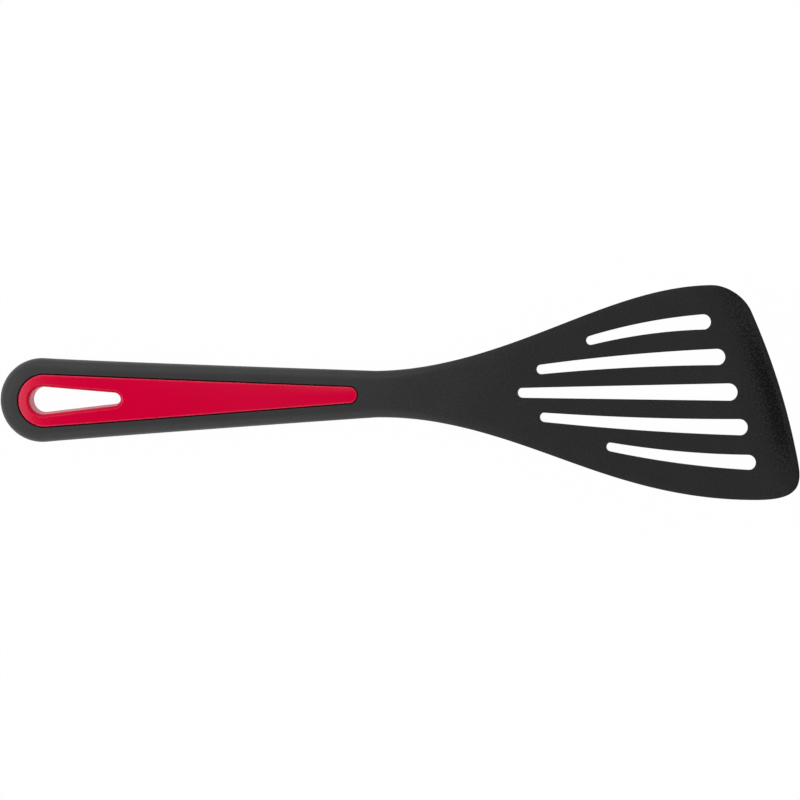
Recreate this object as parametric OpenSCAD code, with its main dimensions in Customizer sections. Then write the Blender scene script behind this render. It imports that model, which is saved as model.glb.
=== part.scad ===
// Slotted kitchen turner: a dark moulding with a coloured insert in its handle.
// All lengths are in millimetres.
// The handle lies along X with its flat back on the plane Z = 0. The round end of the
// hanging eye is centred on the origin, and the blade climbs away along +X.
// The plan is drawn flat, as places along the spine and across it. It is given its
// thickness, then bent up at the neck.

/* [Handle] */
// Radius of the handle's round end
end_r = 16; // [14:0.5:19]
// How far the centre of that end lies behind the origin
end_back = 0.8; // [0:0.1:3]
// Angle at which the sides start to close in, in degrees
side_taper = 4.5; // [3:0.1:6]
// Length over which the sides keep that angle
side_ease = 20; // [10:1:40]
// Thickness of the handle at its crest
handle_t = 12.5; // [10.5:0.5:15]
// Place of the crest along the spine
crest_x = 18; // [10:1:40]
// How far the top falls from the crest to the end
end_drop = 2.2; // [0.5:0.1:3]
// How far the crown stands above the sides of the top
crown = 1; // [0.2:0.1:1.6]

/* [Neck] */
// Place of the narrowest section along the spine
neck_x = 126.8; // [122:0.2:140]
// Width of the narrowest section
neck_w = 17.8; // [14:0.1:20]
// Length over which the handle's sides turn into the neck
neck_ease = 2.5; // [2:0.5:20]
// Thickness of the neck
neck_t = 9; // [7:0.1:10.5]
// Place where the underside starts to bend up
bend_x = 116; // [100:1:125]
// Radius of that bend
bend_r = 145; // [100:5:180]
// Angle between the blade and the handle's back, in degrees
pitch = 15; // [5:0.5:18]

/* [Blade] */
// Place where the blade's centre line meets the front edge
blade_end = 281.4; // [270:0.1:300]
// Place of the widest point on the short side
short_x = 255.8; // [248:0.1:258]
// Distance of the short side from the centre line
short_w = 39.9; // [36:0.1:46]
// Lengths over which the short side leaves the neck and reaches its widest point
short_ease = [50, 40.5]; // [30:0.5:60]
// Place of the widest point on the long side
long_x = 270.9; // [262:0.1:274]
// Distance of the long side from the centre line
long_w = 40.3; // [36:0.1:46]
// Lengths over which the long side leaves the neck and reaches its widest point
long_ease = [53, 59]; // [30:0.5:70]
// Radius of the curved front edge
front_r = 248; // [180:1:400]
// Slant of the front edge on the centre line, in degrees
front_skew = 16.1; // [8:0.1:20]
// Height on the short side at which the front edge turns into its corner
short_corner_y = 30; // [26:0.5:32]
// Height on the long side at which the front edge turns into its corner
long_corner_y = 27; // [24:0.5:32]
// Thickness of the blade
blade_t = 2.1; // [1.8:0.1:3]
// Place where the neck has thinned to the blade's thickness
root_x = 202; // [190:1:225]
// Thickness that is left at the front edge
tip_t = 0.9; // [0.6:0.1:1.4]
// Width of the bevel behind the front edge
bevel_w = 12; // [6:0.5:15]

/* [Slots] */
// Distance between the wide ends of two neighbouring slots, across the blade
slot_pitch = 13.1; // [11:0.1:14]
// Distance from the wide end of the middle slot to the front edge
slot_margin = 16.1; // [14:0.1:22]
// How much more of this distance each slot towards the short side has
slot_margin_step = 0.25; // [0:0.05:1]
// Width of the middle slot at its wide end
slot_wide = 6.5; // [5:0.1:7.5]
// Width of the middle slot at its narrow end
slot_narrow = 3.8; // [3:0.1:4.8]
// How much narrower each slot is than its inner neighbour
slot_fade = 0.3; // [0:0.05:0.5]
// Lengths of the slots, from the short side to the long side
slot_len = [47.7, 72.2, 84, 79.2, 56.7]; // [30:0.1:90]
// How far each narrow end lies nearer the centre line than its wide end
slot_lean = [6.6, 4.3, 0, 3.8, 5.7]; // [0:0.1:9]

/* [Hanging eye] */
// Radius of the eye's large end
eye_r = 5.25; // [4.5:0.05:6]
// Radius of the eye's small end
eye_tip_r = 2.55; // [2.2:0.05:3.5]
// Distance between the centres of its two ends
eye_len = 27; // [20:0.2:28]
// Width of the chamfer round its top
eye_rim = 1; // [0.4:0.1:1.5]
// Wall of the collar that lines the eye
collar_w = 1.8; // [1.2:0.1:2.2]
// Distance of the collar's lower end above the handle's back
collar_up = 0.2; // [0.1:0.1:1]

/* [Insert] */
// Radius of the insert's large end
insert_r = 9.9; // [8.5:0.1:11]
// Place of that end's centre along the spine
insert_x = 0.4; // [0:0.1:1]
// Radius of the insert's small end
insert_tip_r = 3.1; // [2.4:0.1:4]
// Distance between the centres of its two ends
insert_len = 115.6; // [104:0.2:120]
// Height of the seat that the insert lies on
seat_z = 7.6; // [6.5:0.1:8.2]
// Gap between the insert's edge and the moulding
insert_gap = 0.3; // [0.15:0.05:0.5]
// Gap round the collar, inside the handle
collar_gap = 0.15; // [0.1:0.05:0.4]

/* [Handle core] */
// Thickness of the handle's back wall
back_wall = 2.4; // [1.6:0.1:3]
// Width of the ledge under the insert's edge
ledge_w = 1.7; // [1.2:0.1:2]
// Place where the core starts, beyond the eye
core_x = 36; // [34:0.5:44]
// Number of cross ribs in the core
rib_count = 4; // [1:1:6]
// Thickness of a cross rib
rib_t = 1.4; // [1:0.1:2]
// Distance of the ribs and bosses below the seat
rib_drop = 0.2; // [0.1:0.1:1]
// Places of the insert's pins along the spine
pin_x = [46, 94]; // [42:0.5:100]
// Radius of a pin
pin_r = 2; // [1.5:0.1:2.4]
// Length of a pin
pin_len = 4; // [3:0.1:4.5]
// Gap round a pin
pin_gap = 0.05; // [0.02:0.01:0.1]
// Wall of the boss round a pin
boss_w = 1.6; // [1.2:0.1:2.4]

/* [Hidden] */
body_colour = "#333335";
insert_colour = "#c60838";
$fn = 64;
// Extra depth of every cut beyond the surface that it opens
overrun = 1;
// Edge radii as shares of the local thickness, on the top and on the back
edge_share = 0.42;
back_edge_share = 0.3;
// Height of the side's widest line as a share of the local thickness
waist_share = 0.5;
// How far each corner's curve is drawn towards the meeting point of its two sides
short_corner_share = 0.56;
long_corner_share = 0.75;
// How far a slot has reached its final height when it is half as long
slot_bow_share = 0.85;
// Widest part of a row that one edge's rounding may take
edge_limit_share = 0.3;
// Least sine of the angle that a row is taken to make with the outline
min_meeting = 0.05;
// Steps along the plan's sides: round end, handle, blade side and corner
end_steps = 8;
handle_steps = 16;
flare_steps = 20;
corner_steps = 9;
// Steps across a row: one rounded edge, and the face between the edges
round_steps = 4;
face_steps = 8;
// Steps along a slot's side and round each of its ends
slot_steps = 10;
slot_end_steps = 8;

end_x = -end_back;
neck_y = neck_w / 2;
bend_len = bend_r * pitch * PI / 180;
front_c = [blade_end - front_r * cos(front_skew), -front_r * sin(front_skew)];
slot_count = len(slot_len);
slot_mid = (slot_count - 1) / 2;
core_end = insert_x + insert_len + insert_tip_r - ledge_w;
rib_step = (core_end - core_x) / (rib_count + 1);

// Blends: straight between two values, eased between 0 and 1, and along a four-point curve
function mix(a, b, f) = a + (b - a) * f;
function smooth(f) = let (g = max(0, min(1, f))) g * g * (3 - 2 * g);
function curve3(a, b, c, f) = mix(mix(a, b, f), mix(b, c, f), f);
function curve4(p, f) = mix(curve3(p[0], p[1], p[2], f), curve3(p[1], p[2], p[3], f), f);
function reverse(list) = [for (i = [len(list) - 1 : -1 : 0]) list[i]];

// Point of the front edge at the distance y from the centre line
function front_angle(y) = asin((y - front_c[1]) / front_r);
function front_point(y) = front_c + front_r * [cos(front_angle(y)), sin(front_angle(y))];

// Round end of the handle, from its tip to the start of a side
function end_arc(up) = [
    for (i = [0 : end_steps - 1])
        let (a = mix(180, 90 - side_taper, i / end_steps))
        [end_x + end_r * cos(a), up * end_r * sin(a)]
];

// Side of the handle, up to the neck
function handle_side(up) =
    let (start = [end_x + end_r * sin(side_taper), end_r * cos(side_taper)])
    let (next = start + side_ease * [cos(side_taper), -sin(side_taper)])
    let (curve = [start, next, [neck_x - neck_ease, neck_y], [neck_x, neck_y]])
    [for (i = [0 : handle_steps - 1]) let (p = curve4(curve, i / handle_steps)) [p[0], up * p[1]]];

// Side of the blade, from the neck to its widest point
function blade_side(wide, ease) =
    let (y = neck_y * sign(wide[1]))
    let (curve = [[neck_x, y], [neck_x + ease[0], y], wide - [ease[1], 0], wide])
    [for (i = [0 : flare_steps - 1]) curve4(curve, i / flare_steps)];

// Corner between the widest point and the front edge
function corner(wide, edge, share) =
    let (meet = [edge[0] - tan(front_angle(edge[1])) * (wide[1] - edge[1]), wide[1]])
    let (curve = [wide, mix(wide, meet, share), mix(edge, meet, share), edge])
    [for (i = [0 : corner_steps]) curve4(curve, i / corner_steps)];

short_side = concat(
    end_arc(1),
    handle_side(1),
    blade_side([short_x, short_w], short_ease),
    corner([short_x, short_w], front_point(short_corner_y), short_corner_share)
);
long_side = concat(
    end_arc(-1),
    handle_side(-1),
    blade_side([long_x, -long_w], long_ease),
    corner([long_x, -long_w], front_point(-long_corner_y), long_corner_share)
);
row_last = len(short_side) - 1;
across = face_steps + 2 * round_steps;
neck_row = end_steps + handle_steps;
front_chord = norm(short_side[row_last] - long_side[row_last]);
front_bow = front_r - sqrt(pow(front_r, 2) - pow(front_chord / 2, 2));

// Full thickness over a place along the spine, before the front bevel
function spine_t(x) =
    x < crest_x ? handle_t - end_drop * pow((crest_x - x) / (crest_x - end_x + end_r), 2)
    : x < neck_x ? mix(handle_t, neck_t, smooth((x - crest_x) / (neck_x - crest_x)))
    : mix(neck_t, blade_t, smooth((x - neck_x) / (root_x - neck_x)));

// Distance of a plan point behind the front edge, and the thickness that the bevel leaves
function front_gap(p) = front_r - norm(p - front_c);
function bevel(p) = (blade_t - tip_t) * pow(max(0, 1 - front_gap(p) / bevel_w), 2);
function full_t(p) = spine_t(p[0]) - (p[0] > neck_x ? bevel(p) : 0);

// Points of one row across the plan, crowded at its two edges
function row_place(j, length, r) =
    j <= round_steps ? r * (1 - cos(90 * j / round_steps))
    : j >= across - round_steps ? length - r * (1 - cos(90 * (across - j) / round_steps))
    : r + (length - 2 * r) * (j - round_steps) / face_steps;
// Sine of the angle at which a row meets the outline: small where they run side by side
function meeting(side, i, dir) =
    let (run = side[min(i + 1, row_last)] - side[i - 1])
    abs(cross(dir, run)) / norm(run);
function row(i) =
    let (a = short_side[i], b = long_side[i], length = norm(b - a))
    let (dir = (b - a) / length)
    let (slope = max(min_meeting, min(meeting(short_side, i, dir), meeting(long_side, i, dir))))
    let (r = min(edge_share * spine_t(a[0]) / slope, edge_limit_share * length))
    let (bow = front_bow * pow(max(0, i - neck_row) / (row_last - neck_row), 2))
    let (forward = [a[1] - b[1], b[0] - a[0]] / length)
    [for (j = [0 : across])
        let (f = row_place(j, length, r) / length)
        mix(a, b, f) + forward * bow * 4 * f * (1 - f)];
rows = [for (i = [1 : row_last]) row(i)];

// Outline of the plan, and the distance of a plan point from it
outline = concat(short_side, rows[row_last - 1], reverse(long_side));
function line_gap(p, a, b) =
    let (run = b - a, square = run * run)
    square == 0 ? norm(p - a) : norm(p - a - run * max(0, min(1, (p - a) * run / square)));
function edge_gap(p) = min([for (k = [1 : len(outline) - 1]) line_gap(p, outline[k - 1], outline[k])]);

// Rounding of an edge: 0 on the outline, 1 where the face starts
function rounding(gap, r) = let (g = max(0, 1 - gap / r)) sqrt(1 - g * g);

// Heights of the top and of the back over a plan point, at the share f across its row
function crown_drop(x, f) =
    crown * (spine_t(x) - blade_t) / (handle_t - blade_t) * pow(2 * f - 1, 2);
function top_h(p, f, gap) =
    let (t = full_t(p), waist = t * waist_share)
    mix(waist, t - crown_drop(p[0], f), rounding(gap, edge_share * t));
function back_h(p, gap) =
    let (t = full_t(p))
    t * waist_share * (1 - rounding(gap, back_edge_share * t));

// Place in space of a plan point at the height h over the underside
function bent(p, h) =
    let (a = max(0, min(pitch, (p[0] - bend_x) / bend_len * pitch)))
    let (beyond = max(0, p[0] - bend_x - bend_len))
    let (x = min(p[0], bend_x) + bend_r * sin(a) + beyond * cos(a) - h * sin(a))
    [x, p[1], bend_r * (1 - cos(a)) + beyond * sin(a) + h * cos(a)];

// Solid form of the moulding before anything is cut from it.
// The front row and both ends of each row are shared by the top and the back.
inner = across - 1;
top_points = [
    for (r = rows)
        for (j = [0 : across])
            bent(r[j], top_h(r[j], j / across, edge_gap(r[j])))
];
back_points = [
    for (i = [0 : row_last - 2])
        for (j = [1 : inner])
            bent(rows[i][j], back_h(rows[i][j], edge_gap(rows[i][j])))
];
tip_point = bent(short_side[0], full_t(short_side[0]) * waist_share);
form_points = concat([tip_point], top_points, back_points);
function top_id(i, j) = 1 + (i - 1) * (across + 1) + j;
function back_id(i, j) =
    (j == 0 || j == across || i == row_last) ? top_id(i, j)
    : 1 + len(top_points) + (i - 1) * inner + j - 1;
// Two triangles between four neighbouring points, split so that none lies along the outline
function cell(a, b, c, d, j) = j < across / 2 ? [[a, b, d], [b, c, d]] : [[a, b, c], [a, c, d]];
function top_cell(i, j) =
    cell(top_id(i, j), top_id(i + 1, j), top_id(i + 1, j + 1), top_id(i, j + 1), j);
function back_cell(i, j) =
    cell(back_id(i, j), back_id(i, j + 1), back_id(i + 1, j + 1), back_id(i + 1, j), j);
form_faces = concat(
    [for (j = [0 : inner]) [0, top_id(1, j), top_id(1, j + 1)]],
    [for (j = [0 : inner]) [0, back_id(1, j + 1), back_id(1, j)]],
    [for (i = [1 : row_last - 1])
        for (j = [0 : inner])
            for (face = concat(top_cell(i, j), back_cell(i, j)))
                face]
);
module form() {
    polyhedron(points = form_points, faces = form_faces, convexity = 4);
}

// Flat egg shape: two round ends joined by straight sides
module egg(large_r, small_r, length) {
    hull() {
        circle(large_r);
        translate([length, 0]) circle(small_r);
    }
}

// Outline of the insert, moved outwards by the distance out
module insert_outline(out) {
    translate([insert_x, 0]) egg(insert_r + out, insert_tip_r + out, insert_len);
}

// Middle line of slot k at the share f of its length, and its half width there
function slot_half(k, f) =
    (mix(slot_narrow, slot_wide, f) - slot_fade * abs(k - slot_mid) * mix(1 / 2, 1, f)) / 2;
function slot_line(k, f) =
    let (out = slot_mid - k, y = slot_pitch * out)
    let (end = [front_point(y)[0] - slot_margin - slot_margin_step * out, y])
    let (start = end - [slot_len[k], slot_lean[k] * sign(out)])
    let (a = start + [slot_half(k, 0), 0], b = end - [slot_half(k, 1), 0])
    curve3(a, [(a[0] + b[0]) / 2, mix(a[1], b[1], slot_bow_share)], b, f);
function slot_side(k, up) = [
    for (i = [0 : slot_steps])
        let (f = i / slot_steps)
        let (run = slot_line(k, min(1, f + 1 / slot_steps)) - slot_line(k, max(0, f - 1 / slot_steps)))
        slot_line(k, f) + up * slot_half(k, f) * [-run[1], run[0]] / norm(run)
];
function slot_round(k, f, from) = [
    for (i = [1 : slot_end_steps - 1])
        let (a = from - 180 * i / slot_end_steps)
        slot_line(k, f) + slot_half(k, f) * [cos(a), sin(a)]
];
module slot_outline(k) {
    polygon(concat(
        slot_side(k, 1),
        slot_round(k, 1, 90),
        reverse(slot_side(k, -1)),
        slot_round(k, 0, 270)
    ));
}
module slots() {
    start = bent([bend_x + bend_len, 0], 0);
    translate(start)
        rotate([0, -pitch, 0])
            translate([-bend_x - bend_len, 0, -overrun])
                for (k = [0 : slot_count - 1])
                    linear_extrude(height = neck_t + overrun) slot_outline(k);
}

// Space under the insert, beyond the eye
module core() {
    translate([0, 0, back_wall])
        difference() {
            linear_extrude(height = handle_t) insert_outline(-ledge_w);
            translate([-end_r, -end_r, -overrun])
                cube([core_x + end_r, 2 * end_r, handle_t + 2 * overrun]);
        }
}

// Cross ribs and pin bosses in the core, rooted in its floor and its walls
module stiffeners() {
    root_z = back_wall / 2;
    tall = seat_z - rib_drop - root_z;
    translate([0, 0, root_z]) {
        intersection() {
            linear_extrude(height = tall) insert_outline(-ledge_w / 2);
            for (i = [1 : rib_count])
                translate([core_x + i * rib_step - rib_t / 2, -end_r, -overrun])
                    cube([rib_t, 2 * end_r, handle_t]);
        }
        for (x = pin_x)
            translate([x, 0, 0]) cylinder(r = pin_r + pin_gap + boss_w, h = tall);
    }
}

// Dark moulding: blade, neck and handle frame
module turner_body() {
    color(body_colour)
        difference() {
            union() {
                difference() {
                    form();
                    slots();
                    translate([0, 0, seat_z])
                        linear_extrude(height = handle_t) insert_outline(insert_gap);
                    core();
                }
                stiffeners();
            }
            translate([0, 0, -overrun])
                linear_extrude(height = handle_t + 2 * overrun)
                    egg(eye_r + collar_w + collar_gap, eye_tip_r + collar_w + collar_gap, eye_len);
            for (x = pin_x)
                translate([x, 0, back_wall])
                    cylinder(r = pin_r + pin_gap, h = handle_t);
        }
}

// Chamfer round the top of the eye, tilted as the top of the handle is there.
// Its cone starts inside the eye, so that it crosses the wall at the chamfer's lower edge.
module eye_chamfer() {
    low_x = -eye_r;
    high_x = eye_len + eye_tip_r;
    tilt = atan((spine_t(high_x) - spine_t(low_x)) / (high_x - low_x));
    translate([0, 0, spine_t(0)])
        rotate([0, -tilt, 0])
            hull() {
                translate([0, 0, -2 * eye_rim])
                    linear_extrude(height = eye_rim / 10)
                        egg(eye_r - eye_rim, eye_tip_r - eye_rim, eye_len);
                translate([0, 0, eye_rim])
                    linear_extrude(height = eye_rim / 10)
                        egg(eye_r + 2 * eye_rim, eye_tip_r + 2 * eye_rim, eye_len);
            }
}

// Coloured panel in the top of the handle, with the collar of the eye and two pins
module handle_insert() {
    color(insert_colour)
        difference() {
            union() {
                intersection() {
                    form();
                    translate([0, 0, seat_z]) linear_extrude(height = handle_t) insert_outline(0);
                }
                translate([0, 0, collar_up])
                    linear_extrude(height = seat_z)
                        egg(eye_r + collar_w, eye_tip_r + collar_w, eye_len);
                for (x = pin_x)
                    translate([x, 0, seat_z - pin_len])
                        cylinder(r = pin_r, h = pin_len + overrun);
            }
            translate([0, 0, -overrun])
                linear_extrude(height = handle_t + 2 * overrun) egg(eye_r, eye_tip_r, eye_len);
            eye_chamfer();
        }
}

turner_body();
handle_insert();
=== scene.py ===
"""A slotted kitchen turner, dressed over its CAD frame.

The dark moulding and the coloured insert of its handle are modelled flat, as places along
the spine, across it and above its underside, in millimetres. Each finished mesh is then
bent up at the neck and brought to metres, in the frame of the CAD model. Sizes in the
finishes and in the studio are in metres.
"""

import logging
import math
from bisect import bisect_right
from collections.abc import Callable, Sequence
from dataclasses import dataclass, field
from enum import Enum

import bmesh
import bpy
from bmesh.types import BMEdge, BMesh, BMVert
from mathutils import Matrix, Vector


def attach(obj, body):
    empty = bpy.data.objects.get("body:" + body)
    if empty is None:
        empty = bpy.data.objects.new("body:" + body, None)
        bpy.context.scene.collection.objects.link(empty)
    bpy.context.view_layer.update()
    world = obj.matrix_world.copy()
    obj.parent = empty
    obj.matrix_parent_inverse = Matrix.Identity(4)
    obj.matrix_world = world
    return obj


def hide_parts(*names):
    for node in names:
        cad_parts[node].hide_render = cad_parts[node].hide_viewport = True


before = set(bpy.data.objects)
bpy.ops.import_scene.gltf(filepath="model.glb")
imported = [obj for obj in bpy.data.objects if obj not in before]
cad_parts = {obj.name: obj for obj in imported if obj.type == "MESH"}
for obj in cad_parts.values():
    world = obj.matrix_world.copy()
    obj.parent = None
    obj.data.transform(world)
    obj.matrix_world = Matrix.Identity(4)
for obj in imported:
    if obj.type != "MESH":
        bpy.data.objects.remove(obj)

LOG = logging.getLogger("turner")
MM = 0.001
QUARTER = math.pi / 2
SKIN = "skin_place"
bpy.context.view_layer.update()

Height = Callable[[float, float], float]
Span = tuple[float, float]
Colour = tuple[float, float, float, float]


def mix(a: float, b: float, share: float) -> float:
    """Return the value at a share of the way from a to b."""
    return a + (b - a) * share


def ease(share: float) -> float:
    """Return a share eased at both of its ends and kept between 0 and 1."""
    s = max(0.0, min(1.0, share))
    return s * s * (3 - 2 * s)


def unit(turn: float) -> Vector:
    """Return the direction in the plan at an angle from the spine."""
    return Vector((math.cos(turn), math.sin(turn)))


def around(centre: float, radius: float, turn: float) -> Vector:
    """Return the point at an angle on a circle whose centre lies on the spine."""
    return Vector((centre + radius * math.cos(turn), radius * math.sin(turn)))


def bezier(points: Sequence[Vector], share: float) -> Vector:
    """Return the point of a Bezier curve of any degree.

    Args:
        points: The curve's control points.
        share: The place along the curve, from 0 to 1.

    Returns:
        The point at that place.
    """
    row = [p.copy() for p in points]
    while len(row) > 1:
        row = [a.lerp(b, share) for a, b in zip(row, row[1:])]
    return row[0]


def fillet(radius: float, steps: int) -> list[Span]:
    """Return a rounded edge as pairs of distance from the wall and depth below the face.

    Args:
        radius: Radius of the rounding.
        steps: Number of its segments.

    Returns:
        Pairs from the face to the wall.
    """
    turns = [QUARTER * k / steps for k in range(steps + 1)]
    return [(radius * (1 - math.sin(t)), radius * (1 - math.cos(t))) for t in turns]


def level(z: float) -> Height:
    """Return the height of a flat face."""
    return lambda x, y: z


def raised(places: Sequence[Vector], height: Height, drop: float = 0.0) -> list[Vector]:
    """Return places of the plan lifted to a height less a drop."""
    return [Vector((p.x, p.y, height(p.x, p.y) - drop)) for p in places]


class Side(Enum):
    """Sides of the blade, with the sign of y on each."""

    SHORT = 1
    LONG = -1


@dataclass(frozen=True)
class Steps:
    """Numbers of short edges in the round and bent lines."""

    small_end: int = 24
    large_end: int = 48
    straight_least: int = 12
    handle_end: int = 26
    handle_side: int = 60
    blade_side: int = 64
    corner: int = 22
    front: int = 44
    slot_end: int = 14
    slot_least: int = 20
    top_edge: int = 10
    back_edge: int = 8
    panel_fillet: int = 5
    slot_fillet: int = 4
    small_fillet: int = 3


STEPS = Steps()


@dataclass(frozen=True)
class Spine:
    """The line that the turner's underside follows, in millimetres."""

    bend_start: float = 116.0
    bend_radius: float = 145.0
    pitch: float = math.radians(15)

    def place(self, flat: Vector) -> Vector:
        """Bend a point of the flat model up with the spine.

        Args:
            flat: The point's place along, across and above the underside, in millimetres.

        Returns:
            Where it lies in space, in metres.
        """
        length = self.bend_radius * self.pitch
        turn = max(0.0, min(self.pitch, (flat.x - self.bend_start) / self.bend_radius))
        beyond = max(0.0, flat.x - self.bend_start - length)
        along = min(flat.x, self.bend_start) + self.bend_radius * math.sin(turn)
        x = along + beyond * math.cos(turn) - flat.z * math.sin(turn)
        z = self.bend_radius * (1 - math.cos(turn)) + beyond * math.sin(turn)
        return Vector((x, flat.y, z + flat.z * math.cos(turn))) * MM


@dataclass
class Loop:
    """A closed line in the plan, with the direction that points away from its inside."""

    points: list[Vector]
    normals: list[Vector]

    @classmethod
    def through(cls, points: Sequence[Vector]) -> "Loop":
        """Return a loop through points that run counter-clockwise.

        Args:
            points: Places in the plan, without a repeated end.

        Returns:
            The loop, with normals taken from its neighbouring points.
        """
        count = len(points)
        normals = []
        for i in range(count):
            run = points[(i + 1) % count] - points[i - 1]
            normals.append(Vector((run.y, -run.x)).normalized())
        return cls(list(points), normals)

    @classmethod
    def egg(
        cls, centre: float, large: float, small: float, length: float, edge_len: float = 1.6
    ) -> "Loop":
        """Return two round ends joined by straight sides.

        Args:
            centre: Place of the large end's centre along the spine.
            large: Radius of the large end.
            small: Radius of the small end.
            length: Distance between the two centres.
            edge_len: Rough length of the edges that the straight sides are divided into.

        Returns:
            The loop, with true normals.
        """
        quarter = QUARTER - math.asin((large - small) / length)
        places: list[tuple[Vector, float]] = []
        for k in range(STEPS.small_end):
            turn = mix(-quarter, quarter, k / STEPS.small_end)
            places.append((around(centre + length, small, turn), turn))
        steps = max(STEPS.straight_least, round(length / edge_len))
        far = around(centre + length, small, quarter)
        near = around(centre, large, quarter)
        places += [(far.lerp(near, k / steps), quarter) for k in range(steps)]
        for k in range(STEPS.large_end):
            turn = mix(quarter, 2 * math.pi - quarter, k / STEPS.large_end)
            places.append((around(centre, large, turn), turn))
        near.y, far.y = -near.y, -far.y
        places += [(near.lerp(far, k / steps), -quarter) for k in range(steps)]
        return cls([place for place, _ in places], [unit(turn) for _, turn in places])

    def moved(self, distance: float | Sequence[float]) -> list[Vector]:
        """Return the points moved along their normals.

        Args:
            distance: One distance for all the points, or one for each.

        Returns:
            The moved points, in the same order.
        """
        if isinstance(distance, (int, float)):
            distance = [distance] * len(self.points)
        return [p + n * d for p, n, d in zip(self.points, self.normals, distance)]


@dataclass
class TurnerPlan:
    """The plan and the thickness of the moulding, in millimetres."""

    end_r: float = 16.0
    end_x: float = -0.8
    side_taper: float = math.radians(4.5)
    side_ease: float = 20.0
    handle_t: float = 12.5
    crest_x: float = 18.0
    end_drop: float = 2.2
    crown: float = 0.35
    neck_crown: float = 2.4
    crown_from: float = 80.0
    crown_least_w: float = 0.5
    neck_x: float = 126.8
    neck_w: float = 17.8
    neck_ease: float = 2.5
    neck_t: float = 9.0
    blade_end: float = 281.4
    widest: dict[Side, Span] = field(
        default_factory=lambda: {Side.SHORT: (255.8, 39.9), Side.LONG: (270.9, 40.3)}
    )
    flare: dict[Side, Span] = field(
        default_factory=lambda: {Side.SHORT: (50.0, 40.5), Side.LONG: (53.0, 59.0)}
    )
    corner_y: dict[Side, float] = field(
        default_factory=lambda: {Side.SHORT: 30.0, Side.LONG: 27.0}
    )
    corner_pull: dict[Side, float] = field(
        default_factory=lambda: {Side.SHORT: 0.56, Side.LONG: 0.75}
    )
    front_r: float = 248.0
    front_skew: float = math.radians(16.1)
    blade_t: float = 2.1
    root_x: float = 202.0
    tip_t: float = 0.9
    bevel_w: float = 12.0
    waist: float = 0.5
    edge: float = 0.4
    blade_edge: float = 1.8
    blade_edge_to: float = 0.5
    back_edge: float = 0.3

    def __post_init__(self) -> None:
        """Work out the front edge's centre and the widths along the handle."""
        self.front_c = Vector(
            (
                self.blade_end - self.front_r * math.cos(self.front_skew),
                -self.front_r * math.sin(self.front_skew),
            )
        )
        side = self._end_arc() + self._handle_side() + self._blade_side(Side.SHORT)
        self._stations = [p.x for p in side]
        self._widths = [p.y for p in side]

    def front_point(self, y: float) -> Vector:
        """Return the point of the front edge at the height y in the plan."""
        turn = math.asin((y - self.front_c.y) / self.front_r)
        return self.front_c + self.front_r * unit(turn)

    def _end_arc(self) -> list[Vector]:
        """Return the round end from its tip to the start of the short side."""
        steps, stop = STEPS.handle_end, QUARTER - self.side_taper
        return [around(self.end_x, self.end_r, mix(math.pi, stop, k / steps)) for k in range(steps)]

    def _handle_side(self) -> list[Vector]:
        """Return the handle's short side.

        Returns:
            The points from the round end to just before the neck.
        """
        slant = Vector((math.cos(self.side_taper), -math.sin(self.side_taper)))
        start = Vector((self.end_x + self.end_r * -slant.y, self.end_r * slant.x))
        half = self.neck_w / 2
        curve = [
            start,
            start + slant * self.side_ease,
            Vector((self.neck_x - self.neck_ease, half)),
            Vector((self.neck_x, half)),
        ]
        return [bezier(curve, k / STEPS.handle_side) for k in range(STEPS.handle_side)]

    def _blade_side(self, side: Side) -> list[Vector]:
        """Return one side of the blade.

        Args:
            side: The side of the blade.

        Returns:
            The points from the neck to just before the widest point.
        """
        x, y = self.widest[side]
        leave, reach = self.flare[side]
        half = self.neck_w / 2
        curve = [
            Vector((self.neck_x, half)),
            Vector((self.neck_x + leave, half)),
            Vector((x - reach, y)),
            Vector((x, y)),
        ]
        points = (bezier(curve, k / STEPS.blade_side) for k in range(STEPS.blade_side))
        return [Vector((p.x, p.y * side.value)) for p in points]

    def _corner(self, side: Side) -> list[Vector]:
        """Return the corner between one side's widest point and the front edge.

        Args:
            side: The side of the blade.

        Returns:
            The points from the widest point to just before the front edge.
        """
        x, y = self.widest[side]
        wide = Vector((x, y * side.value))
        edge = self.front_point(self.corner_y[side] * side.value)
        slope = math.tan(math.asin((edge.y - self.front_c.y) / self.front_r))
        meet = Vector((edge.x - slope * (wide.y - edge.y), wide.y))
        pull = self.corner_pull[side]
        curve = [wide, wide.lerp(meet, pull), edge.lerp(meet, pull), edge]
        return [bezier(curve, k / STEPS.corner) for k in range(STEPS.corner)]

    def outline(self) -> Loop:
        """Return the whole outline.

        Returns:
            The loop, counter-clockwise from the handle's tip.
        """
        handle = self._end_arc() + self._handle_side()
        short = handle + self._blade_side(Side.SHORT) + self._corner(Side.SHORT)
        mirrored = [Vector((p.x, -p.y)) for p in handle]
        long = mirrored + self._blade_side(Side.LONG) + self._corner(Side.LONG)
        low, high = -self.corner_y[Side.LONG], self.corner_y[Side.SHORT]
        heights = [mix(low, high, k / STEPS.front) for k in range(STEPS.front + 1)]
        return Loop.through(long + [self.front_point(y) for y in heights] + short[:0:-1])

    def half_width(self, x: float) -> float:
        """Return the half width of the handle and of the blade's short side.

        Args:
            x: Place along the spine.

        Returns:
            The distance from the spine to the side.
        """
        k = bisect_right(self._stations, x)
        if k == 0 or k == len(self._stations):
            return self._widths[max(0, k - 1)]
        share = (x - self._stations[k - 1]) / (self._stations[k] - self._stations[k - 1])
        return mix(self._widths[k - 1], self._widths[k], share)

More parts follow.
